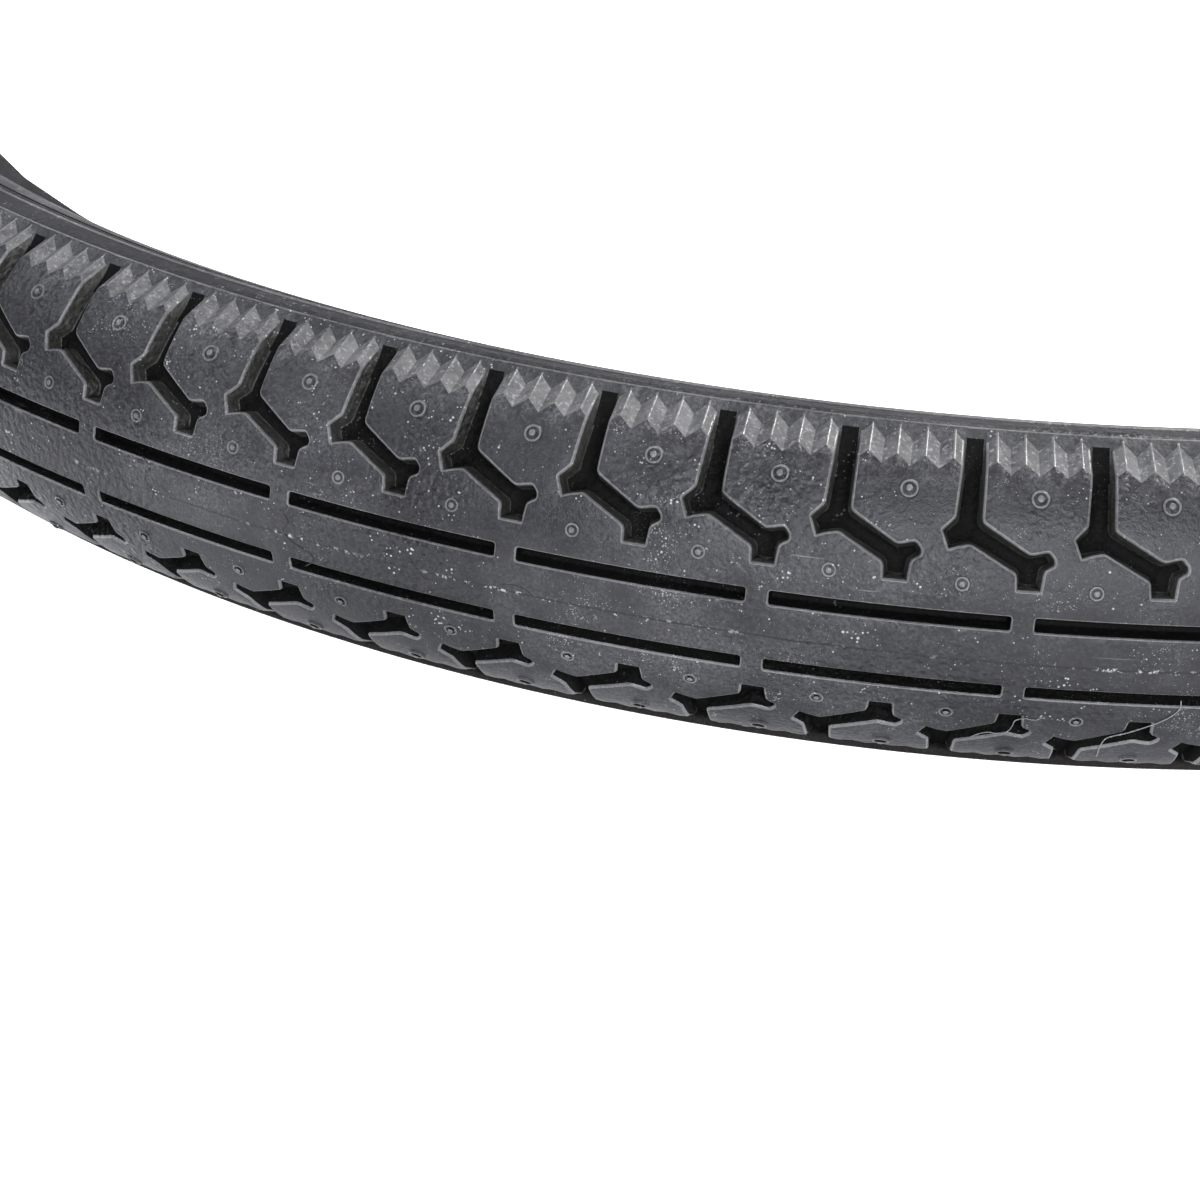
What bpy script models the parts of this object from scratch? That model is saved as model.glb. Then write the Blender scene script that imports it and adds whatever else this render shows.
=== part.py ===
"""Bare clincher cycle tyre, size 47-406, with a slotted centre band and Y-shaped shoulder grooves.

Metres, +Z is the tyre's axle, the middle plane of the tread is z = 0.
"""
import math

import bmesh
import bpy

MM = 0.001

# ---- driving dimensions, millimetres ----
CROWN_R = 250.0          # outer radius of the tyre at the tread's crown
SECTION_R = 26.6         # radius of the tread's rounded section
BEAD_R = 203.0           # radius of the bead seat
CASING_R = 21.3          # section radius of the casing's outer face under the tread
PITCHES = 98             # shoulder grooves on each side of the tread
CUT_DEPTH = 2.4          # depth of the slots and grooves
SLOT_MID = 4.82          # centre of each row of slots, measured round the section from the crown
SLOT_WIDTH = 2.2
BRIDGE = 0.155           # rubber left between two slots, in pitches
CASING_T = 0.55          # thickness of one layer of casing fabric
GAP = 0.3                # clearance kept between neighbouring layers
STRAND_R = 0.45          # radius of one bead wire
FINE = PITCHES           # steps round the tread
COARSE = PITCHES // 2    # steps round everything under it

PITCH_A = 2.0 * math.pi / PITCHES
PITCH_U = CROWN_R * PITCH_A
CENTRE_R = CROWN_R - SECTION_R
GROW = 1.0 / math.cos(math.pi / FINE)   # keeps the flats of the ring on the true circle

# outline of one shoulder groove: distance round the tread, then round the section, from the crown
GROOVE = [(9.9, 25.3), (9.6, 13.4), (17.9, 8.9), (21.3, 8.9), (22.0, 13.2), (13.5, 17.0), (13.5, 25.3)]
GROOVE_SHIFT = -6.8      # turns the pattern so that no groove crosses a step of the ring


def clear_scene():
    for ob in list(bpy.data.objects):
        bpy.data.objects.remove(ob, do_unlink=True)


def new_collection(name):
    col = bpy.data.collections.new(name)
    bpy.context.scene.collection.children.link(col)
    return col


def material(name, colour, metallic=0.0, rough=0.6):
    mat = bpy.data.materials.new(name)
    mat.use_nodes = True
    bsdf = mat.node_tree.nodes["Principled BSDF"]
    bsdf.inputs["Base Color"].default_value = (*colour, 1.0)
    bsdf.inputs["Metallic"].default_value = metallic
    bsdf.inputs["Roughness"].default_value = rough
    mat.diffuse_color = (*colour, 1.0)
    return mat


def arc(radius, degrees):
    """A point of the section on a circle about the tread's section centre."""
    t = math.radians(degrees)
    return CENTRE_R + radius * math.cos(t), radius * math.sin(t)


def mirrored(upper):
    """Closed symmetric section from its upper outer run and upper inner run, crown first."""
    outer, inner = upper
    low_outer = [(r, -z) for r, z in outer if z > 1e-9]
    low_inner = [(r, -z) for r, z in inner if z > 1e-9]
    return list(reversed(outer)) + low_outer + list(reversed(low_inner)) + inner


def clockwise(section):
    """Order a closed section so that its outer side runs from top to bottom."""
    area = sum(a[0] * b[1] - b[0] * a[1] for a, b in zip(section, section[1:] + section[:1]))
    return section if area < 0 else list(reversed(section))


def ring(name, section, steps, mat, col, grow=1.0):
    """Turn a closed section (radius, height) about Z with a Screw modifier."""
    pts = [(r * grow * MM, 0.0, z * MM) for r, z in clockwise(section)]
    mesh = bpy.data.meshes.new(name)
    mesh.from_pydata(pts, [(i, (i + 1) % len(pts)) for i in range(len(pts))], [])
    ob = bpy.data.objects.new(name, mesh)
    col.objects.link(ob)
    mesh.materials.append(mat)
    mod = ob.modifiers.new("turn", "SCREW")
    mod.axis = "Z"
    mod.angle = 2.0 * math.pi
    mod.steps = mod.render_steps = steps
    mod.use_merge_vertices = True
    mod.merge_threshold = 0.00005
    mod.use_smooth_shade = False
    mod.use_normal_calculate = False
    return ob


def on_tread(u, s, lift):
    """Point above the tread: u round the crown, s round the section, lift outwards."""
    a = u / CROWN_R
    t = s / SECTION_R
    rad = CENTRE_R + (SECTION_R + lift) * math.cos(t)
    z = (SECTION_R + lift) * math.sin(t)
    return rad * math.cos(a) * MM, rad * math.sin(a) * MM, z * MM


def add_prism(bm, outline, side):
    """Wrapped prism through the tread's surface under a closed outline."""
    rings = []
    for lift in (-CUT_DEPTH, 1.6):
        rings.append([bm.verts.new(on_tread(u, side * s, lift)) for u, s in outline])
    low, high = rings
    n = len(outline)
    faces = [bm.faces.new(low), bm.faces.new(list(reversed(high)))]
    for i in range(n):
        j = (i + 1) % n
        faces.append(bm.faces.new((low[j], low[i], high[i], high[j])))
    return faces


def tread_cutter(col):
    """Two rows of slots and two rows of Y grooves as one object of separate prisms."""
    bm = bmesh.new()
    half = (1.0 - BRIDGE / 2.0) * PITCH_U
    first = 1.1975 * PITCH_U + GROOVE_SHIFT
    s0, s1 = SLOT_MID - SLOT_WIDTH / 2.0, SLOT_MID + SLOT_WIDTH / 2.0
    for side in (1, -1):
        for k in range(PITCHES // 2):
            mid = first + 2 * k * PITCH_U
            slot = [(mid - half, s0), (mid + half, s0), (mid + half, s1), (mid - half, s1)]
            add_prism(bm, slot, side)
        for k in range(PITCHES):
            add_prism(bm, [(u + GROOVE_SHIFT + k * PITCH_U, s) for u, s in GROOVE], side)
    bmesh.ops.triangulate(bm, faces=[f for f in bm.faces if len(f.verts) > 4])
    bmesh.ops.recalc_face_normals(bm, faces=bm.faces)
    mesh = bpy.data.meshes.new("tread_cutter")
    bm.to_mesh(mesh)
    bm.free()
    ob = bpy.data.objects.new("tread_cutter", mesh)
    col.objects.link(ob)
    ob.hide_render = True
    ob.display_type = "WIRE"
    return ob


def tread_section():
    """Thick crown, thinning over the shoulder to the joint with the sidewall."""
    outer = [arc(SECTION_R, d) for d in (0, 18, 38, 55)] + [(231.5, 23.0)]
    over_breaker = CASING_R + 0.5 + 2.0 * GAP
    inner = [arc(over_breaker, d) for d in (0, 25)]
    inner += [arc(CASING_R + 0.5, 48), (231.5, 20.5)]
    return mirrored((outer, inner))


def casing_runs(lift):
    """Upper run of the casing, crown first, lifted off its outer face."""
    r = CASING_R + lift
    run = [arc(r, d) for d in (0, 24, 48)]
    slope = lift * 0.83
    run += [(230.9 + lift * 0.2, 19.6 + lift), (220.0 - lift * 0.5, 14.3 + slope),
            (212.6 - lift * 0.7, 7.6 + lift * 0.65), (209.0 - lift * 0.4, 3.2 + lift), (204.4, 3.0 + lift)]
    return run


def layer(lo, hi, count):
    """Symmetric fabric layer between two lifts, using the first runs of the casing."""
    return mirrored((casing_runs(hi)[:count], casing_runs(lo)[:count]))


def flip(section, side):
    return [(r, side * z) for r, z in section]


SIDEWALL = [(231.1, 22.7), (225.0, 20.0), (218.0, 15.8), (210.2, 8.0), (208.3, 5.7), (204.3, 5.7),
            (204.3, 4.5), (208.6, 4.5), (210.9, 6.9), (218.6, 14.3), (225.0, 18.2), (231.1, 20.7)]
FILLER = [(208.95, 3.75), (211.9, 7.4), (208.95, 4.3)]
CHAFER = [(BEAD_R, 2.55), (BEAD_R + 0.4, 2.15), (BEAD_R + 0.9, 2.15), (BEAD_R + 0.9, 4.4),
          (BEAD_R + 0.4, 4.4), (BEAD_R, 4.0)]


def strand_section(radius, height):
    corners = 5
    return [(radius + STRAND_R * math.cos(2 * math.pi * i / corners),
             height + STRAND_R * math.sin(2 * math.pi * i / corners)) for i in range(corners)]


def build():
    clear_scene()
    col = new_collection("cycle_tyre")
    cutters = new_collection("cutters")
    cutters.hide_render = True

    rubber = (0.035, 0.034, 0.037)
    fabric = (0.10, 0.085, 0.06)

    tread = ring("tread_cap", tread_section(), FINE, material("tread_cap", rubber), col, GROW)
    cut = tread.modifiers.new("slots_and_grooves", "BOOLEAN")
    cut.operation = "DIFFERENCE"
    cut.solver = "EXACT"
    cut.object = tread_cutter(cutters)

    ring("breaker_strip", layer(GAP, GAP + 0.5, 2), COARSE, material("breaker_strip", fabric), col)
    ring("casing_ply", layer(-CASING_T, 0.0, 8), COARSE,
         material("casing_ply", (0.08, 0.07, 0.055)), col)
    inside = -CASING_T - GAP
    ring("casing_overlap", layer(inside - CASING_T, inside, 3), COARSE,
         material("casing_overlap", (0.09, 0.075, 0.055)), col)

    for where, side in (("upper", 1), ("lower", -1)):
        ring("sidewall_" + where, flip(SIDEWALL, side), COARSE,
             material("sidewall_" + where, (0.030, 0.029, 0.031)), col)
        ring("bead_filler_" + where, flip(FILLER, side), COARSE,
             material("bead_filler_" + where, (0.02, 0.02, 0.02)), col)
        ring("bead_chafer_" + where, flip(CHAFER, side), COARSE,
             material("bead_chafer_" + where, (0.045, 0.043, 0.042)), col)
        for i in range(3):
            name = "bead_strand_%s_%d" % (where, i + 1)
            section = flip(strand_section(205.0 + 1.3 * i, 3.75), side)
            ring(name, section, COARSE, material(name, (0.62, 0.52, 0.33), 1.0, 0.35), col)


build()
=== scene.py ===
"""Looks of a bare clincher cycle tyre lying flat: moulded tread, sidewalls, beads and casing."""
import math

import bmesh
import bpy
import numpy as np
from mathutils import Matrix, Vector
from mathutils.geometry import delaunay_2d_cdt


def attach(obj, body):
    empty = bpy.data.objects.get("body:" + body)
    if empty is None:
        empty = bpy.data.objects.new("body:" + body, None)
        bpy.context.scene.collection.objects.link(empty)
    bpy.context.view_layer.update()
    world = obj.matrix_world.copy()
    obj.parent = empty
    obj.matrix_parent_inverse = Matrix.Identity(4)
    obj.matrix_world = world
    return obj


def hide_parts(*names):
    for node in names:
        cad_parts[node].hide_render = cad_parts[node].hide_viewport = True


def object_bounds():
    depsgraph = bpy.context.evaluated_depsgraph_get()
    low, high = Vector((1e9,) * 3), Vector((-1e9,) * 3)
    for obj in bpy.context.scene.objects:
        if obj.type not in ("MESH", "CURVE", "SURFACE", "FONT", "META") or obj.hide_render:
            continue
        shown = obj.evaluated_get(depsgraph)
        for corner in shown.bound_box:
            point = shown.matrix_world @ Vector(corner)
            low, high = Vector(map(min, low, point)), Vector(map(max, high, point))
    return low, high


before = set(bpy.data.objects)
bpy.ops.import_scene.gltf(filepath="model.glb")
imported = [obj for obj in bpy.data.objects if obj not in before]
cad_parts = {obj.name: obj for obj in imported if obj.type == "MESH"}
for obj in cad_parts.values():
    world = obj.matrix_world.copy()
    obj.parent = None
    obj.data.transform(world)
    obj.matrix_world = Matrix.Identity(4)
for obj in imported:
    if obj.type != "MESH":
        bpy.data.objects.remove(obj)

CAD_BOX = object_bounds()
MM = 0.001
TAU = 2.0 * math.pi

# ---- dimensions of the tread, millimetres ----
CROWN_R = 250.0
SECTION_R = 26.6
CENTRE_R = CROWN_R - SECTION_R
PITCHES = 98
PITCH_A = TAU / PITCHES
PITCH_U = CROWN_R * PITCH_A
TILE_U = 2.0 * PITCH_U
TURN_U = -6.8            # turns the pattern to match the grooves of the solid tread
DEPTH = 2.6              # depth of the slots and grooves
BRIDGE_U = 3.17          # middle of the rubber between two slots
BRIDGE = 0.155           # length of that rubber, in pitches
SLOT_FIRST = 1.1975      # middle of the tile's slot, in pitches
SLOT_LOW, SLOT_HIGH = 3.72, 5.92                # arcs of a slot's two long sides
JOG_U = 6.9              # gap between two Y grooves, where a tile's side runs
RIDGES = (14.55, 18.1, 21.65, 25.2)
VALLEYS = (16.33, 19.88, 23.43)
LEG_L, LEG_R = 10.1, 13.5                       # sides of a groove's leg
CREST = 0.16                                    # half width of a ridge's narrow crest facets, which carry a painted highlight
CREST_W = CREST / (VALLEYS[0] - RIDGES[0])
# shoulder of each half: arcs where the blocks end, then section points (radius, height) up to the rim line
UPPER = dict(ridge=24.5, valley=22.93, edge=23.63, ridge_top=(235.15, 22.6), valley_top=(236.2, 21.3),
             floor_top=(236.5, 20.5), rim=(234.4, 22.92))
LOWER = dict(ridge=22.5, valley=21.5, edge=21.95, ridge_top=(238.0, 21.7), valley_top=(238.3, 21.1),
             floor_top=(237.4, 20.4), rim=(236.9, 22.5))
PARTING_Z = -0.42        # height of the mould's parting line

# distance in from the outline and depth below the surface of each line down a groove's wall
WALL = [(0.0, 0.0), (0.1, 0.035), (0.22, 0.14), (0.32, 0.34), (0.6, 2.3), (0.72, 2.6)]
SLOT_WALL = [(0.0, 0.0), (0.07, 0.03), (0.14, 0.11), (0.19, 0.28), (0.28, 2.4), (0.4, 2.6)]

GROOVE = [
    (LEG_L, None), (9.75, 17.3), (8.2, 15.6), (9.3, 12.95), (10.5, 13.45), (12.05, 13.85),
    (17.6, 10.85), (17.8, 8.75), (21.1, 8.75), (21.35, 11.4), (22.55, 12.1), (22.55, 13.1),
    (21.6, 14.15), (20.5, 13.9), (19.35, 13.6), (13.5, 17.0), (LEG_R, None),
]
GROOVE_ROUND = [0, 0.3, 0.35, 0.35, 0.3, 0.3, 0.3, 0.3, 0.3, 0.35, 0.45, 0.45, 0.45, 0.4, 0.4, 0.5, 0]


def circle_at(s, depth=0.0):
    """Point of the section (radius, height) at arc s, depth below the rounded surface."""
    t = s / SECTION_R
    r = SECTION_R - depth
    return CENTRE_R + r * math.cos(t), r * math.sin(t)


def lerp2(a, b, k):
    return a[0] + (b[0] - a[0]) * k, a[1] + (b[1] - a[1]) * k


def rounded(points, radii, closed):
    """Replace corners by short arcs of three or four points."""
    out = []
    n = len(points)
    for i, (p, r) in enumerate(zip(points, radii)):
        if r <= 0 or (not closed and i in (0, n - 1)):
            out.append(p)
            continue
        a, b = points[i - 1], points[(i + 1) % n]
        va = Vector((a[0] - p[0], a[1] - p[1]))
        vb = Vector((b[0] - p[0], b[1] - p[1]))
        la, lb = va.length, vb.length
        va.normalize(); vb.normalize()
        cut = min(r, la * 0.45, lb * 0.45)
        start = Vector(p) + va * cut
        end = Vector(p) + vb * cut
        for k in (0.0, 0.33, 0.67, 1.0):
            q = start * (1 - k) ** 2 + Vector(p) * 2 * k * (1 - k) + end * k ** 2
            out.append((q.x, q.y))
    return out


def inset(points, dist, closed):
    """Move an outline to its left by dist, keeping the point count."""
    n = len(points)
    out = []
    for i in range(n):
        p = Vector(points[i])
        a = Vector(points[i - 1]) if (closed or i > 0) else None
        b = Vector(points[(i + 1) % n]) if (closed or i < n - 1) else None
        norms = []
        if a is not None and (p - a).length > 1e-9:
            d = (p - a).normalized(); norms.append(Vector((-d.y, d.x)))
        if b is not None and (b - p).length > 1e-9:
            d = (b - p).normalized(); norms.append(Vector((-d.y, d.x)))
        m = sum(norms, Vector((0, 0)))
        m.normalize()
        k = dist / max(0.5, m.dot(norms[0]))
        q = p + m * k
        if not closed and i in (0, n - 1):
            q.y = p.y
        out.append((q.x, q.y))
    return out


def inside(poly, x, y):
    """Even-odd test."""
    odd = False
    j = len(poly) - 1
    for i in range(len(poly)):
        xi, yi = poly[i]
        xj, yj = poly[j]
        if (yi > y) != (yj > y) and x < (xj - xi) * (y - yi) / (yj - yi) + xi:
            odd = not odd
        j = i
    return odd


class Tile:
    """Two pitches of one half of the tread (crown to rim line), later turned and mirrored."""

    def __init__(self):
        self.verts = []      # (u, radius, height)
        self.faces = []
        self.mats = []
        self.smooth = []
        self.key = {}

    def vert(self, u, rad, z):
        k = (round(u, 4), round(rad, 4), round(z, 4))
        if k not in self.key:
            self.key[k] = len(self.verts)
            self.verts.append((u, rad, z))
        return self.key[k]

    def on(self, u, s, depth=0.0):
        return self.vert(u, *circle_at(s, depth))

    def face(self, idx, mat, smooth=True):
        idx = [v for i, v in enumerate(idx) if v != idx[i - 1]]
        if len(set(idx)) >= 3 and len(set(idx)) == len(idx):
            self.faces.append(idx)
            self.mats.append(mat)
            self.smooth.append(smooth)


TOP, WALLS, POCKET_SHADE, FROST, BAND, EDGE_HIGHLIGHT = range(6)   # material slots of the tread; the edge slot is a painted highlight and the pocket slot is painted shade
LEG_EDGE, LEG_WALL = 0.3, 0.65      # how far in from a leg's side its painted-highlight edge and its wall reach
PIP_SIDES = 14


def fill(tile, loops, domain, depth, mat, step):
    """Triangulate a domain outline with holes, with inner points for curvature."""
    pts, edges = [], []
    for loop in [domain] + loops:
        base = len(pts)
        pts += [Vector(p) for p in loop]
        edges += [(base + i, base + (i + 1) % len(loop)) for i in range(len(loop))]
    xs = [p[0] for p in domain]
    ys = [p[1] for p in domain]
    edge_pts = np.array([tuple(p) for p in pts])
    if step:
        row = 0
        y = min(ys) + step * 0.5
        while y < max(ys):
            x = min(xs) + (step * 0.5 if row % 2 else 0.0)
            while x < max(xs):
                if inside(domain, x, y) and not any(inside(l, x, y) for l in loops):
                    near = np.min(np.hypot(edge_pts[:, 0] - x, edge_pts[:, 1] - y))
                    if near > step * 0.42:
                        pts.append(Vector((x, y)))
                x += step
            y += step
            row += 1
    co, _, tris, *_ = delaunay_2d_cdt(pts, edges, [], 0, 1e-6)
    for t in tris:
        cx = sum(co[i].x for i in t) / 3.0
        cy = sum(co[i].y for i in t) / 3.0
        if not inside(domain, cx, cy) or any(inside(l, cx, cy) for l in loops):
            continue
        tile.face([tile.on(co[i].x, co[i].y, depth) for i in t], mat)


def walls(tile, outline, table, closed, mat_wall):
    """Bevel, wall and floor of a pocket under an outline (counter-clockwise); the bevel carries a painted
    highlight and the floor painted shade.
    """
    rings = [inset(outline, d, closed) if d else outline for d, _ in table]
    n = len(outline)
    last = n if closed else n - 1
    for k in range(len(table) - 1):
        a, b = rings[k], rings[k + 1]
        da, db = table[k][1], table[k + 1][1]
        # the first three bevel rings get the painted highlight
        mat = EDGE_HIGHLIGHT if k < 3 else mat_wall
        for i in range(last):
            j = (i + 1) % n
            corners = [tile.on(*a[i], da), tile.on(*a[j], da), tile.on(*b[j], db), tile.on(*b[i], db)]
            tile.face(corners, mat)
    fill(tile, [], rings[-1], table[-1][1], POCKET_SHADE, step=None)


def make_tile(shape):
    """Build the tile for one half's shoulder; the lower half is mirrored when it is placed."""
    tile = Tile()
    jog = JOG_U
    s_ridge, s_valley, s_edge = shape["ridge"], shape["valley"], shape["edge"]
    edge_w = (s_edge - s_ridge) / (s_valley - s_ridge)
    rim = shape["rim"]
    seam = [(BRIDGE_U, s) for s in (0.0, 2.0, 3.7, 5.9, 7.3)]
    seam += [(JOG_U, s) for s in (8.2, 10.4, 12.6, 14.8, 17.0, 19.2, 21.0)]
    # boundary along the shoulder, from left to right, for two pitches
    top = []
    for k in (-1, 0, 1, 2):
        o = k * PITCH_U
        marks = [(LEG_L + o, s_edge, "leg"), (LEG_R + o, s_edge, "edge")]
        marks += [(r + o, s_ridge, "ridge") for r in RIDGES]
        s_crest = s_ridge + (s_valley - s_ridge) * CREST_W
        marks += [(r + o + d, s_crest, "crest") for r in RIDGES for d in (-CREST, CREST)]
        marks += [(v + o, s_valley, "valley") for v in VALLEYS]
        top += marks
    top.sort()

    # the seam meets the shoulder between a valley and a ridge
    def top_at(u):
        for a, b in zip(top[:-1], top[1:]):
            if a[0] <= u <= b[0]:
                k = (u - a[0]) / (b[0] - a[0])
                return a[1] + (b[1] - a[1]) * k
        return s_edge

    s_seam = top_at(jog)
    upper = [(u, s) for u, s, kind in top if jog < u < jog + TILE_U]
    left = seam + [(jog, s_seam)]
    right = [(u + TILE_U, s) for u, s in left]
    crown = [(BRIDGE_U + TILE_U * i / 16.0, 0.0) for i in range(1, 16)]
    # outlines: one slot and two Y grooves
    half = (1.0 - BRIDGE / 2.0) * PITCH_U
    mid = SLOT_FIRST * PITCH_U
    corners = [(mid - half, SLOT_LOW), (mid + half, SLOT_LOW),
               (mid + half, SLOT_HIGH), (mid - half, SLOT_HIGH)]
    corners = rounded(corners, [0.55] * 4, True)
    slot = []
    for i, p in enumerate(corners):
        q = corners[(i + 1) % len(corners)]
        slot.append(p)
        steps = int(abs(q[0] - p[0]) / 2.2)
        slot += [(p[0] + (q[0] - p[0]) * m / (steps + 1), p[1]) for m in range(1, steps + 1)]
    grooves = []
    for k in (0, 1):
        pts = [(u + k * PITCH_U, s_edge if s is None else s) for u, s in GROOVE]
        pts = rounded(pts, GROOVE_ROUND, False)
        extra = []
        for i, p in enumerate(pts):
            extra.append(p)
            if i < len(pts) - 1:
                q = pts[i + 1]
                steps = int(math.hypot(q[0] - p[0], q[1] - p[1]) / 1.5)
                extra += [lerp2(p, q, m / (steps + 1)) for m in range(1, steps + 1)]
        grooves.append(extra)
    # top surface: the domain's upper edge runs across the blocks and round each groove
    upper_path = [(jog, s_seam)]
    for g in grooves:
        upper_path += [p for p in upper if upper_path[-1][0] < p[0] < g[0][0] - 1e-6]
        upper_path += g
    upper_path += [p for p in upper if upper_path[-1][0] < p[0] < jog + TILE_U]
    upper_path.append((jog + TILE_U, s_seam))
    domain = [seam[0]] + crown + right[:-1] + list(reversed(upper_path)) + list(reversed(seam[1:]))
    fill(tile, [slot], domain, 0.0, TOP, step=1.7)
    # the slot's walls and floor get the painted shade of the pockets
    walls(tile, slot, SLOT_WALL, True, POCKET_SHADE)
    for g in grooves:
        walls(tile, g, WALL, False, WALLS)
    # shoulder: columns of points from the block's edge over the teeth to the rim line
    cols = []

    def column(u, w, depth=0.0):
        """Points from arc to rim; w runs from 0 on a ridge to 1 in a valley."""
        s = s_ridge + (s_valley - s_ridge) * w
        base = circle_at(s, depth)
        head = lerp2(shape["ridge_top"], shape["valley_top"], w)
        sink = depth / DEPTH
        head = lerp2(head, shape["floor_top"], sink)
        middle = lerp2(base, head, 0.5)
        high = lerp2(head, rim, 0.62)
        high = (high[0] + 0.12, high[1] - 0.05)
        return u, [base, middle, head, high, rim]

    for k in (0, 1):
        o = k * PITCH_U
        for d, dep in WALL:
            cols.append(column(LEG_L + o + d, edge_w, dep))
        for d, dep in reversed(WALL):
            cols.append(column(LEG_R + o - d, edge_w, dep))
    for k in (-1, 0, 1):
        o = k * PITCH_U
        marks = [(r + o, 0.0) for r in RIDGES] + [(v + o, 1.0) for v in VALLEYS]
        marks += [(r + o + d, CREST_W) for r in RIDGES for d in (-CREST, CREST)]
        for u, w in marks:
            if jog < u < jog + TILE_U:
                cols.append(column(u, w))
    w_seam = (s_seam - s_ridge) / (s_valley - s_ridge)
    cols.append(column(jog, w_seam))
    cols.append(column(jog + TILE_U, w_seam))
    cols.sort(key=lambda c: c[0])
    for (ua, ca), (ub, cb) in zip(cols[:-1], cols[1:]):
        um = (ua + ub) / 2.0
        into = max(min(um - LEG_L - k * PITCH_U, LEG_R + k * PITCH_U - um) for k in (0, 1))
        in_leg = into > 0.0
        crest = any(abs(um - v - k * PITCH_U) < CREST for v in RIDGES for k in (-1, 0, 1))
        # ridge crests and a leg's edge get the painted highlight, the deep middle of a leg painted shade
        for r in range(4):
            mat = FROST if r < 2 else BAND
            if r < 3 and crest:
                mat = EDGE_HIGHLIGHT
            if in_leg and r < 2:
                mat = EDGE_HIGHLIGHT if into < LEG_EDGE else (WALLS if into < LEG_WALL else POCKET_SHADE)
            elif in_leg and r == 2 and into > LEG_WALL:
                mat = POCKET_SHADE
            tile.face([tile.vert(ua, *ca[r]), tile.vert(ub, *cb[r]), tile.vert(ub, *cb[r + 1]),
                       tile.vert(ua, *ca[r + 1])], mat, smooth=in_leg or r > 2)
    return tile


def pip(tile, u, s, ring_r, ring_h, stub_r, stub_h):
    """Moulded vent mark: a low ring with a cut stub in the middle."""
    n = PIP_SIDES
    profile = [(ring_r * 1.15, -0.06), (ring_r, ring_h * 0.8), (ring_r * 0.88, ring_h),
               (ring_r * 0.74, ring_h * 0.6), (ring_r * 0.66, -0.03), (stub_r * 1.1, -0.03),
               (stub_r, stub_h * 0.85), (stub_r * 0.7, stub_h)]
    # the ring's top and the stub carry a painted highlight, the hollow inside the ring painted shade
    mats = [TOP, EDGE_HIGHLIGHT, EDGE_HIGHLIGHT, WALLS, POCKET_SHADE, WALLS, EDGE_HIGHLIGHT]
    rows = []
    for r, h in profile:
        row = []
        for i in range(n):
            a = TAU * i / n
            ds = r * math.sin(a)
            du = r * math.cos(a)
            rad, z = circle_at(s + ds, -h)
            row.append(tile.vert(u + du * CROWN_R / rad, rad, z))
        rows.append(row)
    for a, b, mat in zip(rows[:-1], rows[1:], mats):
        for i in range(n):
            j = (i + 1) % n
            tile.face([a[i], a[j], b[j], b[i]], mat)
    tile.face(rows[-1], EDGE_HIGHLIGHT)


def tread_mesh():
    """Both halves of the tread, 49 tiles each, welded into one mesh."""
    tiles = PITCHES // 2
    blocks, faces, mats, smooth = [], [], [], []
    base = 0
    for side, shape in ((1, UPPER), (-1, LOWER)):
        tile = make_tile(shape)
        for k in (0, 1):
            pip(tile, 20.05 + k * PITCH_U, 20.1 if side > 0 else 19.4, 1.12, 0.3, 0.42, 0.5)
            pip(tile, 11.5 + k * PITCH_U, 9.3, 0.9, 0.14, 0.36, 0.26)
        co = np.array(tile.verts)
        for t in range(tiles):
            a = (co[:, 0] + TURN_U + t * TILE_U) / CROWN_R
            blocks.append(np.stack([co[:, 1] * np.cos(a), co[:, 1] * np.sin(a), side * co[:, 2]], 1))
            for f in tile.faces:
                faces.append([base + i for i in (f if side > 0 else reversed(f))])
            base += len(co)
            # the lower half's groove walls get the near-black painted shade instead of the wall rubber
            mats += tile.mats if side > 0 else [POCKET_SHADE if m == WALLS else m for m in tile.mats]
            smooth += tile.smooth
    pts = np.concatenate(blocks) * MM
    # weld the seams between tiles and halves
    keys = np.round(pts / 2e-6).astype(np.int64)
    _, first, inverse = np.unique(keys, axis=0, return_index=True, return_inverse=True)
    inverse = inverse.reshape(-1)
    pts = pts[first]
    mesh = bpy.data.meshes.new("tread")
    mesh.from_pydata(pts.tolist(), [], [[int(inverse[i]) for i in f] for f in faces])
    mesh.polygons.foreach_set("material_index", mats)
    mesh.polygons.foreach_set("use_smooth", smooth)
    mesh.update()
    return mesh


def add_object(name, mesh, mats, nodes):
    ob = bpy.data.objects.new(name, mesh)
    bpy.context.scene.collection.objects.link(ob)
    for m in mats:
        mesh.materials.append(m)
    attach(ob, "root")
    if nodes:
        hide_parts(*nodes)
    return ob


# ---- materials ----

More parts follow.
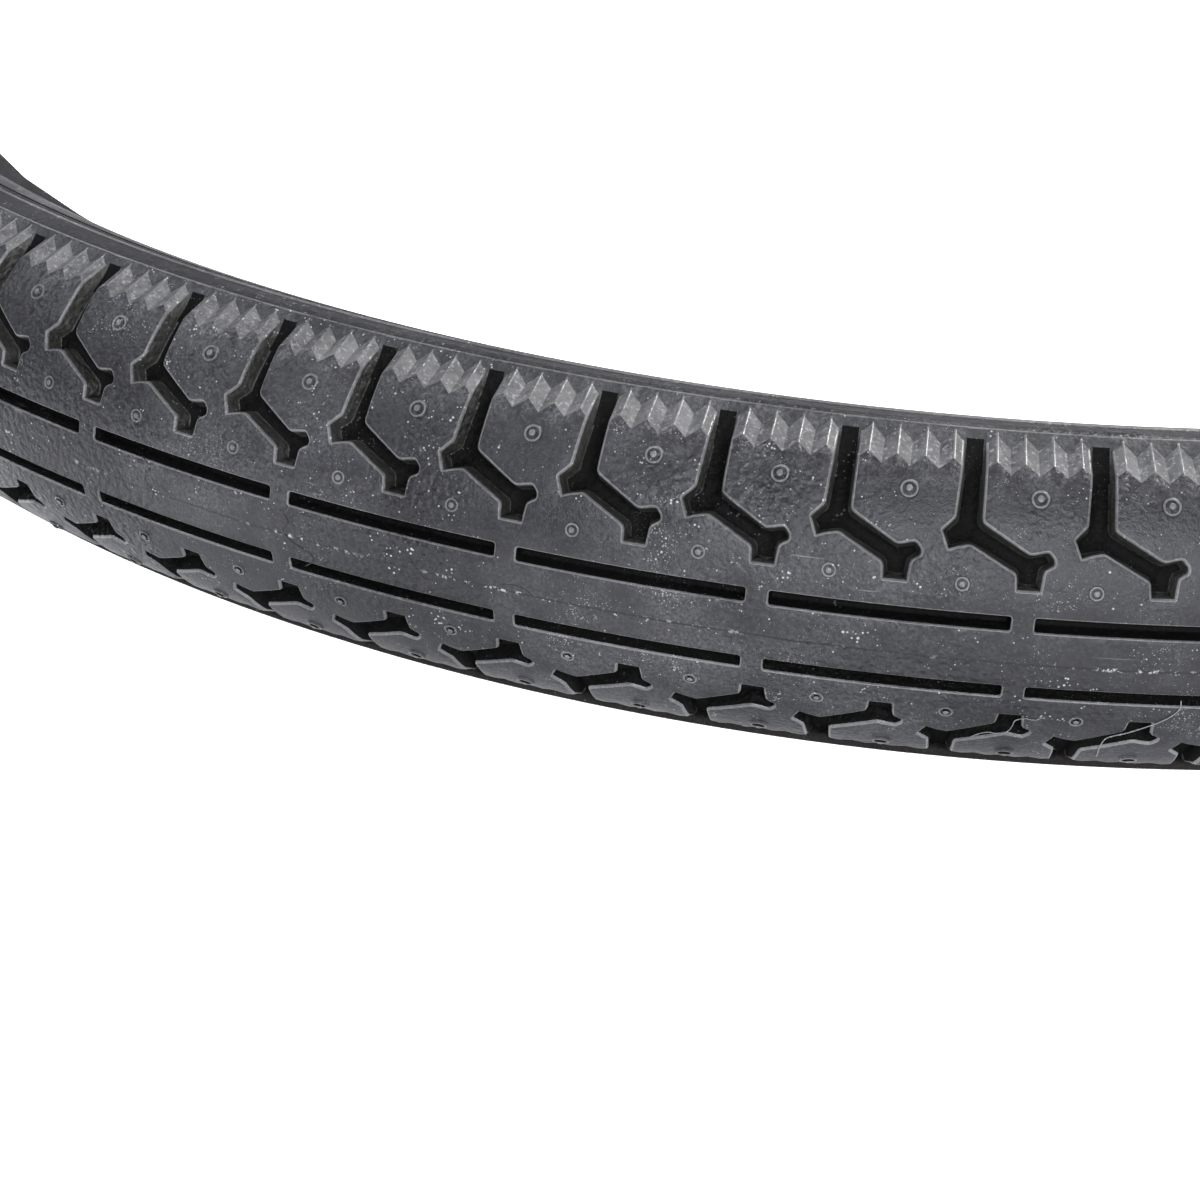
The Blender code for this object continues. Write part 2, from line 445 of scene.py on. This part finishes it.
class Shader:
    """Small helper that wires node trees."""

    def __init__(self, name):
        self.mat = bpy.data.materials.new(name)
        self.mat.use_nodes = True
        self.tree = self.mat.node_tree
        self.bsdf = self.tree.nodes["Principled BSDF"]
        self.coord = self.tree.nodes.new("ShaderNodeTexCoord").outputs["Object"]

    def node(self, kind, inputs=None, **props):
        n = self.tree.nodes.new(kind)
        for k, v in props.items():
            setattr(n, k, v)
        for k, v in (inputs or {}).items():
            if isinstance(v, bpy.types.NodeSocket):
                self.tree.links.new(v, n.inputs[k])
            else:
                n.inputs[k].default_value = v
        return n

    def noise(self, scale, detail=4.0, rough=0.55, vector=None):
        n = self.node("ShaderNodeTexNoise", {"Vector": vector or self.coord, "Scale": scale,
                                             "Detail": detail, "Roughness": rough})
        return n.outputs["Fac"]

    def voronoi(self, scale):
        n = self.node("ShaderNodeTexVoronoi", {"Vector": self.coord, "Scale": scale})
        return n.outputs["Distance"]

    def ramp(self, fac, low, high, a=0.0, b=1.0):
        n = self.node("ShaderNodeMapRange", {"Value": fac, "From Min": low, "From Max": high,
                                             "To Min": a, "To Max": b})
        return n.outputs["Result"]

    def math(self, op, a, b=0.0):
        n = self.node("ShaderNodeMath", {0: a, 1: b}, operation=op)
        return n.outputs[0]

    def mix(self, fac, a, b):
        n = self.node("ShaderNodeMix", data_type="RGBA")
        for key, val in ((0, fac), (6, a), (7, b)):
            if isinstance(val, bpy.types.NodeSocket):
                self.tree.links.new(val, n.inputs[key])
            elif key == 0:
                n.inputs[0].default_value = val
            else:
                n.inputs[key].default_value = (*val, 1.0)
        return n.outputs[2]

    def link(self, out, name):
        self.tree.links.new(out, self.bsdf.inputs[name])

    def bump(self, height, strength, dist, normal=None):
        n = self.node("ShaderNodeBump", {"Height": height, "Strength": strength, "Distance": dist})
        if normal is not None:
            self.tree.links.new(normal, n.inputs["Normal"])
        return n.outputs["Normal"]


def rubber(name, base, grey, rough=(0.42, 0.62), dust=0.5, specks=1.0, parting=False, grain=1.0):
    """Satin black moulded rubber with grain, scuffs, bloom and fine pale dust."""
    s = Shader(name)
    cloud = s.noise(60.0, 5.0, 0.6)
    mottle = s.noise(1700.0, 3.0, 0.75)
    fine = s.noise(4600.0, 2.0, 0.7)
    tone = s.math("ADD", s.math("MULTIPLY", cloud, 0.6), s.math("MULTIPLY", s.noise(17.0, 3.0, 0.5), 0.4))
    colour = s.mix(s.ramp(tone, 0.38, 0.62), base, grey)
    lighter = tuple(2.6 * v for v in grey)
    colour = s.mix(s.ramp(mottle, 0.47, 0.72, 0.0, 0.55 * grain), colour, lighter)
    # dusty bloom in patches, heavier where the blocks meet the teeth
    z = s.node("ShaderNodeSeparateXYZ", {"Vector": s.coord}).outputs["Z"]
    patch = s.ramp(s.noise(34.0, 6.0, 0.7), 0.48, 0.66)
    rub = s.ramp(z, 0.0172, 0.0204)
    rub = s.math("MULTIPLY", rub, s.ramp(s.noise(420.0, 5.0, 0.7), 0.42, 0.66))
    film = s.math("ADD", s.math("MULTIPLY", patch, 0.34), s.math("MULTIPLY", rub, 0.55))
    film = s.math("MULTIPLY", film, dust)
    film = s.math("MULTIPLY", film, s.ramp(s.noise(2300.0, 3.0, 0.8), 0.42, 0.62, 0.1, 1.0))
    colour = s.mix(film, colour, (0.2, 0.2, 0.21))
    # pale specks of two sizes, denser in patches
    where = s.ramp(s.noise(40.0, 4.0, 0.65), 0.4, 0.64, 0.3, 1.0)
    size = s.math("MULTIPLY", s.ramp(s.noise(520.0, 2.0), 0.4, 0.7, 0.0, 0.42), where)
    small = s.ramp(s.math("SUBTRACT", size, s.voronoi(1700.0)), 0.0, 0.1)
    size = s.math("MULTIPLY", s.ramp(s.noise(260.0, 2.0), 0.52, 0.76, 0.0, 0.17), where)
    large = s.ramp(s.math("SUBTRACT", size, s.voronoi(760.0)), 0.0, 0.06)
    salt = s.math("MULTIPLY", s.ramp(s.noise(90.0, 5.0, 0.75), 0.44, 0.64, 0.0, 0.36),
                  s.ramp(cloud, 0.3, 0.6, 0.4, 1.0))
    salt = s.math("MULTIPLY", s.ramp(s.math("SUBTRACT", salt, s.voronoi(2900.0)), 0.0, 0.12), 0.7)
    keep = s.math("MULTIPLY", s.math("MAXIMUM", s.math("MAXIMUM", small, large), salt), specks)
    colour = s.mix(s.math("MULTIPLY", keep, 0.75), colour, (0.5, 0.5, 0.51))
    # long slanting scratches
    lay = s.node("ShaderNodeMapping", {"Vector": s.coord, "Rotation": (0.5, 0.35, 0.2),
                                       "Scale": (70.0, 70.0, 1900.0)}).outputs[0]
    scratch = s.ramp(s.noise(1.0, 2.0, 0.5, lay), 0.735, 0.77)
    scratch = s.math("MULTIPLY", scratch, s.ramp(s.noise(55.0, 3.0), 0.5, 0.62))
    colour = s.mix(s.math("MULTIPLY", scratch, 0.45 * specks), colour, (0.3, 0.3, 0.31))
    normal = s.bump(fine, 0.35 * grain, 0.00006)
    normal = s.bump(mottle, 0.85 * grain, 0.00016, normal)
    normal = s.bump(s.noise(330.0, 4.0, 0.6), 0.35, 0.00022, normal)
    peel = s.math("MULTIPLY", s.noise(1150.0, 1.0, 0.4), s.ramp(s.noise(26.0, 3.0), 0.46, 0.6))
    normal = s.bump(peel, 0.9 * grain, 0.0005, normal)
    normal = s.bump(scratch, 0.25, 0.00006, normal)
    if parting:
        wob = s.math("MULTIPLY", s.math("SUBTRACT", s.noise(120.0, 3.0), 0.5), 0.0005)
        off = s.math("ABSOLUTE", s.math("ADD", s.math("SUBTRACT", z, PARTING_Z * MM), wob))
        line = s.ramp(off, 0.00009, 0.00018, 1.0, 0.0)
        fleck = s.math("MULTIPLY", s.ramp(off, 0.0001, 0.00035, 1.0, 0.0),
                       s.ramp(s.noise(1300.0, 3.0, 0.7), 0.55, 0.62))
        fleck = s.math("MULTIPLY", fleck, s.ramp(s.noise(50.0, 3.0), 0.42, 0.56))
        colour = s.mix(s.math("MULTIPLY", line, 0.85), colour, (0.004, 0.004, 0.004))
        colour = s.mix(s.math("MULTIPLY", fleck, 0.8), colour, (0.5, 0.5, 0.5))
        normal = s.bump(line, -0.8, 0.0003, normal)
    s.link(colour, "Base Color")
    low, high = rough
    gloss = s.math("ADD", s.ramp(cloud, 0.3, 0.7, low, high), s.ramp(mottle, 0.4, 0.7, -0.05, 0.12))
    s.link(gloss, "Roughness")
    s.link(normal, "Normal")
    return s.mat


def frosted(name):
    """Scuffed, pale bloom on the serrated shoulder."""
    s = Shader(name)
    a = s.noise(800.0, 5.0, 0.7)
    b = s.noise(120.0, 4.0, 0.6)
    colour = s.mix(s.ramp(a, 0.35, 0.65), (0.042, 0.041, 0.044), (0.125, 0.124, 0.128))
    colour = s.mix(s.ramp(b, 0.42, 0.72, 0.0, 0.6), colour, (0.19, 0.19, 0.19))
    streak = s.node("ShaderNodeMapping", {"Vector": s.coord, "Scale": (2200.0, 2200.0, 260.0)}).outputs[0]
    streak = s.noise(1.0, 3.0, 0.6, streak)
    colour = s.mix(s.ramp(streak, 0.54, 0.7, 0.0, 0.6), colour, (0.34, 0.34, 0.34))
    s.link(colour, "Base Color")
    s.bsdf.inputs["Specular IOR Level"].default_value = 0.35
    s.link(s.ramp(a, 0.3, 0.7, 0.55, 0.75), "Roughness")
    s.link(s.bump(a, 0.5, 0.0002, s.bump(s.noise(2600.0, 3.0), 0.4, 0.00008)), "Normal")
    return s.mat


def fabric(name, dark, light):
    """Rubber-coated diagonal cord fabric."""
    s = Shader(name)
    polar = s.node("ShaderNodeSeparateXYZ", {"Vector": s.coord})
    ang = s.math("ARCTAN2", polar.outputs["Y"], polar.outputs["X"])
    lines = []
    for sign in (1.0, -1.0):
        v = s.math("ADD", s.math("MULTIPLY", ang, 420.0),
                   s.math("MULTIPLY", polar.outputs["Z"], sign * 2300.0))
        lines.append(s.math("SINE", v))
    weave = s.math("MULTIPLY", s.math("ADD", lines[0], lines[1]), 0.5)
    tone = s.math("ADD", s.math("MULTIPLY", weave, 0.25), s.noise(300.0, 4.0))
    s.link(s.mix(s.ramp(tone, 0.3, 0.8), dark, light), "Base Color")
    s.bsdf.inputs["Roughness"].default_value = 0.72
    s.link(s.bump(weave, 0.5, 0.00012, s.bump(s.noise(1500.0), 0.3, 0.00005)), "Normal")
    return s.mat


def wire(name):
    s = Shader(name)
    a = s.noise(500.0, 4.0)
    s.link(s.mix(s.ramp(a, 0.35, 0.7), (0.45, 0.33, 0.18), (0.66, 0.56, 0.4)), "Base Color")
    s.bsdf.inputs["Metallic"].default_value = 1.0
    s.link(s.ramp(a, 0.3, 0.7, 0.25, 0.45), "Roughness")
    s.link(s.bump(s.noise(2500.0), 0.2, 0.00004), "Normal")
    return s.mat


# ---- turned pieces ----

def turned(name, section, steps, slots):
    """Closed surface of revolution about Z; slots gives the material of each side of the section."""
    n = len(section)
    a = np.arange(steps) * TAU / steps
    sec = np.array(section) * MM
    pts = np.stack([sec[None, :, 0] * np.cos(a)[:, None], sec[None, :, 0] * np.sin(a)[:, None],
                    np.repeat(sec[None, :, 1], steps, 0)], 2).reshape(-1, 3)
    faces = []
    for i in range(steps):
        j = (i + 1) % steps
        for k in range(n):
            m = (k + 1) % n
            faces.append((i * n + k, j * n + k, j * n + m, i * n + m))
    mesh = bpy.data.meshes.new(name)
    mesh.from_pydata(pts.tolist(), [], faces)
    mesh.polygons.foreach_set("use_smooth", [True] * len(faces))
    mesh.polygons.foreach_set("material_index", slots * steps)
    mesh.update()
    bm = bmesh.new()
    bm.from_mesh(mesh)
    bmesh.ops.recalc_face_normals(bm, faces=bm.faces)
    bm.to_mesh(mesh)
    bm.free()
    return mesh


SIDE_OUTER = [
    (234.55, 22.2), (234.5, 22.8), (234.4, 22.96), (234.2, 22.96), (234.08, 22.8), (233.98, 22.3),
    (233.75, 22.02), (233.5, 22.1), (233.35, 22.36), (231.6, 22.2), (229.9, 21.76), (228.6, 21.38),
    (228.42, 21.5), (228.2, 21.46), (228.1, 21.2), (227.95, 20.72), (227.6, 20.6), (227.4, 20.86),
    (226.9, 20.82), (226.6, 20.72), (226.4, 20.35),
    (226.1, 20.2), (225.9, 20.4), (225.0, 19.95), (222.0, 18.4), (218.5, 16.1),
    (215.4, 13.4), (212.2, 10.0), (210.3, 7.7), (209.3, 6.45), (208.6, 5.8), (208.0, 5.6),
    (206.0, 5.62), (204.5, 5.62),
]
SIDE_STEPS = 4 * PITCHES
# crests with a painted highlight and the fine grooves beside them with painted shade, by segment of
# SIDE_OUTER
SIDE_HIGHLIGHT = (1, 2, 3, 11, 12)
SIDE_SHADE = (5, 6, 14, 15, 19, 20, 21)
SIDE_INNER = [(204.5, 4.55), (208.5, 4.55), (210.9, 7.0), (218.6, 14.35), (225.0, 18.3), (231.1, 20.8)]


# the lower side, pressed outwards by lying on it, shows a rounded band beyond the blocks
SIDE_BULGE = [
    (236.4, 21.1), (237.6, 21.3), (238.15, 21.8), (238.3, 22.4), (238.0, 22.8), (237.3, 22.96),
    (236.2, 22.97), (235.0, 22.94),
]


def sidewall(where, side, mat):
    outer = SIDE_OUTER if side > 0 else SIDE_BULGE + SIDE_OUTER[4:]
    shift = len(outer) - len(SIDE_OUTER)
    section = [(r, side * z) for r, z in outer + SIDE_INNER]
    slots = [0] * len(section)
    for which, segments in ((1, SIDE_HIGHLIGHT), (2, SIDE_SHADE)):
        for k in segments:
            if side > 0 or k > 4:
                slots[k + shift] = which
    name = "sidewall_%s_rubber" % where
    add_object(name, turned(name, section, SIDE_STEPS, slots), [mat, edge_highlight_rubber, pocket_shade_rubber],
               ["sidewall_" + where])


tread_rubber = rubber("tread_rubber", (0.005, 0.0047, 0.0068), (0.0165, 0.016, 0.02),
                      rough=(0.34, 0.5), dust=1.0, parting=True)
# pale, glossy rubber that paints the highlight on bevels, crests, vent-mark rims and sidewall ridges
edge_highlight_rubber = rubber("edge_highlight_rubber", (0.07, 0.069, 0.072), (0.15, 0.149, 0.15),
                     rough=(0.28, 0.4), dust=0.6, grain=0.5)
groove_rubber = rubber("groove_rubber", (0.013, 0.0124, 0.011), (0.028, 0.027, 0.024),
                       rough=(0.42, 0.55), specks=0.5, dust=0.4)
# near-black, low-specular rubber that paints the shade in groove floors, slots, vent-mark hollows, sidewall
# fine grooves and the lower half's groove walls
pocket_shade_rubber = rubber("pocket_shade_rubber", (0.003, 0.003, 0.003), (0.005, 0.005, 0.005),
                       rough=(0.5, 0.65), specks=0.15, dust=0.02)
pocket_shade_rubber.node_tree.nodes["Principled BSDF"].inputs["Specular IOR Level"].default_value = 0.05
frost_rubber = frosted("frosted_rubber")
band_rubber = rubber("band_rubber", (0.012, 0.012, 0.013), (0.03, 0.03, 0.032), rough=(0.5, 0.7), dust=0.7)
side_rubber = rubber("sidewall_rubber", (0.012, 0.0118, 0.014), (0.024, 0.0235, 0.027),
                     rough=(0.34, 0.5), dust=0.25, specks=0.7)
# darker copy of the sidewall rubber for the downward-facing lower side: painted shade
low_shaded_rubber = rubber("lower_shaded_rubber", (0.007, 0.006, 0.0058), (0.012, 0.010, 0.0095),
                    rough=(0.5, 0.65), dust=0.1, specks=0.2)
low_shaded_rubber.node_tree.nodes["Principled BSDF"].inputs["Specular IOR Level"].default_value = 0.12

add_object("tread_moulding", tread_mesh(),
           [tread_rubber, groove_rubber, pocket_shade_rubber, frost_rubber, band_rubber, edge_highlight_rubber],
           ["tread_cap"])
# the lower sidewall takes the darker copy, which paints its shade
for where, side in (("upper", 1), ("lower", -1)):
    sidewall(where, side, side_rubber if side > 0 else low_shaded_rubber)


def dress(node, mat):
    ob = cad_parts[node]
    if ob.material_slots:
        for sl in ob.material_slots:
            sl.material = mat
    else:
        ob.data.materials.append(mat)


casing_mat = fabric("casing_cord", (0.02, 0.018, 0.016), (0.07, 0.06, 0.045))
chafer_mat = fabric("chafer_weave", (0.018, 0.018, 0.018), (0.05, 0.048, 0.046))
filler_mat = rubber("filler_rubber", (0.02, 0.02, 0.02), (0.03, 0.03, 0.03))
wire_mat = wire("bead_wire")
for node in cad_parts:
    if node.startswith(("casing", "breaker")):
        dress(node, casing_mat)
    elif node.startswith("bead_chafer"):
        dress(node, chafer_mat)
    elif node.startswith("bead_filler"):
        dress(node, filler_mat)
    elif node.startswith("bead_strand"):
        dress(node, wire_mat)

# ---- loose rubber hairs lying on the tread: material, radius, then (degrees from the front, arc s) ----
HAIRS = [
    (0, 0.075, [(-1.85, -14.9), (-1.6, -13.6), (-1.35, -13.0), (-1.1, -13.1), (-0.85, -12.4), (-0.75, -11.0),
             (-0.7, -9.8), (-0.45, -9.3), (-0.15, -9.5), (0.05, -8.8)]),
    (0, 0.085, [(2.0, -19.2), (1.92, -15.5), (1.95, -13.0), (2.1, -12.0), (2.5, -11.0), (2.9, -9.8),
             (3.4, -8.2), (3.75, -6.3), (3.75, -4.6)]),
    (1, 0.06, [(-22.9, 3.0), (-22.6, 1.6), (-22.8, 0.2), (-22.5, -1.2), (-21.9, -2.2), (-21.8, -3.4),
             (-22.1, -4.6)]),
    (1, 0.06, [(-28.0, 4.2), (-27.7, 2.8), (-27.9, 1.2), (-27.6, -0.4), (-27.7, -1.8)]),
    (1, 0.055, [(-15.9, -1.0), (-15.7, 0.1), (-15.3, 0.6), (-14.9, 0.2), (-14.7, -0.5)]),
]


def hairs():
    """Thin round strands following the surface, each with closed ends."""
    bm = bmesh.new()
    sides = 5
    for tone, radius, path in HAIRS:
        line = []
        for i in range(len(path) - 1):
            p0, p1 = path[max(i - 1, 0)], path[i]
            p2, p3 = path[i + 1], path[min(i + 2, len(path) - 1)]
            for m in range(4):
                t = m / 4.0
                line.append(tuple(0.5 * (2 * p1[k] + (p2[k] - p0[k]) * t
                                         + (2 * p0[k] - 5 * p1[k] + 4 * p2[k] - p3[k]) * t * t
                                         + (3 * p1[k] - p0[k] - 3 * p2[k] + p3[k]) * t ** 3) for k in (0, 1)))
        line.append(path[-1])
        pts = []
        for i, (deg, s) in enumerate(line):
            lift = radius * 0.6 + 0.12 * math.sin(math.pi * i / (len(line) - 1)) ** 2
            rad, z = circle_at(s, -lift if abs(s) > 5.0 else -radius * 0.3)
            a = turn - math.pi / 2.0 + math.radians(deg)
            pts.append(Vector((rad * math.cos(a), rad * math.sin(a), z)))
        rings = []
        for i, p in enumerate(pts):
            along = (pts[min(i + 1, len(pts) - 1)] - pts[max(i - 1, 0)]).normalized()
            out = Vector((p.x, p.y, 0.0)).normalized()
            side = along.cross(out).normalized()
            over = side.cross(along)
            thin = radius * (0.45 if i in (0, len(pts) - 1) else 1.0)
            turns = [TAU * k / sides for k in range(sides)]
            rings.append([bm.verts.new((p + (side * math.cos(t) + over * math.sin(t)) * thin) * MM)
                          for t in turns])
        for ra, rb in zip(rings[:-1], rings[1:]):
            for k in range(sides):
                face = bm.faces.new((ra[k], ra[(k + 1) % sides], rb[(k + 1) % sides], rb[k]))
                face.smooth = True
                face.material_index = tone
        for end in (rings[0], rings[-1]):
            bm.faces.new(end).material_index = tone
    bmesh.ops.recalc_face_normals(bm, faces=bm.faces)
    mesh = bpy.data.meshes.new("loose_hairs")
    bm.to_mesh(mesh)
    bm.free()
    return mesh


# ---- floor, light and camera ----
bpy.context.scene.view_settings.view_transform = "Standard"
floor_mat = Shader("floor")
floor_mat.bsdf.inputs["Base Color"].default_value = (0.9, 0.9, 0.9, 1.0)
floor_mat.bsdf.inputs["Roughness"].default_value = 0.9
floor_mat.bsdf.inputs["Emission Color"].default_value = (1.0, 1.0, 1.0, 1.0)
floor_mat.bsdf.inputs["Emission Strength"].default_value = 1.0
bm = bmesh.new()
bmesh.ops.create_grid(bm, x_segments=1, y_segments=1, size=6.0)
floor_mesh = bpy.data.meshes.new("floor")
bm.to_mesh(floor_mesh)
bm.free()
floor = bpy.data.objects.new("floor", floor_mesh)
bpy.context.scene.collection.objects.link(floor)
floor_mesh.materials.append(floor_mat.mat)
floor.location.z = CAD_BOX[0][2] - 0.0005
floor.visible_diffuse = False
floor.visible_glossy = False

world = bpy.data.worlds.new("studio")
bpy.context.scene.world = world
world.use_nodes = True
wt = world.node_tree
sky = wt.nodes.new("ShaderNodeSeparateXYZ")
wt.links.new(wt.nodes.new("ShaderNodeTexCoord").outputs["Generated"], sky.inputs[0])
half = wt.nodes.new("ShaderNodeMapRange")
wt.links.new(sky.outputs["Z"], half.inputs["Value"])
half.inputs["From Min"].default_value = -1.0
glow = wt.nodes.new("ShaderNodeValToRGB")
wt.links.new(half.outputs["Result"], glow.inputs["Fac"])
# brightness by height: pale table below the horizon, dimmer room above
levels = [(0.0, 0.5), (0.22, 1.8), (0.4, 2.1), (0.49, 0.45), (0.6, 0.12), (0.8, 0.28), (1.0, 0.4)]
for i, (at, v) in enumerate(levels):
    e = glow.color_ramp.elements[i] if i < 2 else glow.color_ramp.elements.new(at)
    e.position = at
    e.color = (v * 0.95, v * 0.965, v, 1.0)
wt.links.new(glow.outputs["Color"], wt.nodes["Background"].inputs["Color"])
wt.nodes["Background"].inputs["Strength"].default_value = 1.0


def area(name, loc, target, size, power, colour=(1, 1, 1)):
    light = bpy.data.lights.new(name, "AREA")
    light.shape = "RECTANGLE"
    light.size, light.size_y = size
    light.energy = power
    light.color = colour
    ob = bpy.data.objects.new(name, light)
    bpy.context.scene.collection.objects.link(ob)
    ob.location = loc
    ob.rotation_euler = (Vector(target) - Vector(loc)).to_track_quat("-Z", "Y").to_euler()


# camera: angles in radians about a point near the front of the crown, lengths in metres, lens in millimetres
SENSOR = 36.0
CAM = dict(azimuth=0.05006, elevation=0.54141, roll=0.04177, dist=0.29183, aim_x=-0.05460, aim_z=0.00504,
           lens=72.864, phase=-0.15685)
turn = TURN_U / CROWN_R + math.pi / 2.0 - CAM["phase"]
turn -= round(turn / (2.0 * PITCH_A)) * 2.0 * PITCH_A
spin = Matrix.Rotation(turn, 3, "Z")
back = Vector((math.sin(CAM["azimuth"]) * math.cos(CAM["elevation"]),
               -math.cos(CAM["azimuth"]) * math.cos(CAM["elevation"]), math.sin(CAM["elevation"])))
aim = Vector((CAM["aim_x"], -CROWN_R * MM, CAM["aim_z"] + PARTING_Z * MM))
right = Vector((0, 0, 1)).cross(back).normalized()
up = back.cross(right)
roll_cos, roll_sin = math.cos(CAM["roll"]), math.sin(CAM["roll"])
right, up = right * roll_cos + up * roll_sin, up * roll_cos - right * roll_sin
place = spin @ (aim + back * CAM["dist"])
rot = spin @ Matrix((right, up, back)).transposed()
cam_data = bpy.data.cameras.new("camera")
cam_data.sensor_width = SENSOR
cam_data.lens = CAM["lens"]
cam_data.clip_start = 0.01
cam = bpy.data.objects.new("camera", cam_data)
bpy.context.scene.collection.objects.link(cam)
cam.matrix_world = Matrix.Translation(place) @ rot.to_4x4()
bpy.context.scene.camera = cam

hair_rubber = rubber("hair_rubber", (0.12, 0.12, 0.12), (0.22, 0.22, 0.22), dust=0.6)
add_object("loose_hairs", hairs(), [hair_rubber, groove_rubber], None)

near = spin @ Vector((-0.05, -0.25, 0.0))
area("key", spin @ Vector((0.05, -1.0, 0.42)), near, (0.8, 0.25), 9.0, (0.93, 0.95, 1.0))
area("fill", spin @ Vector((-0.85, -0.3, 0.75)), near, (0.35, 0.35), 4.0, (0.92, 0.94, 1.0))
area("rim", spin @ Vector((0.6, 0.35, 0.9)), near, (0.3, 0.2), 16.0, (1.0, 0.99, 0.97))
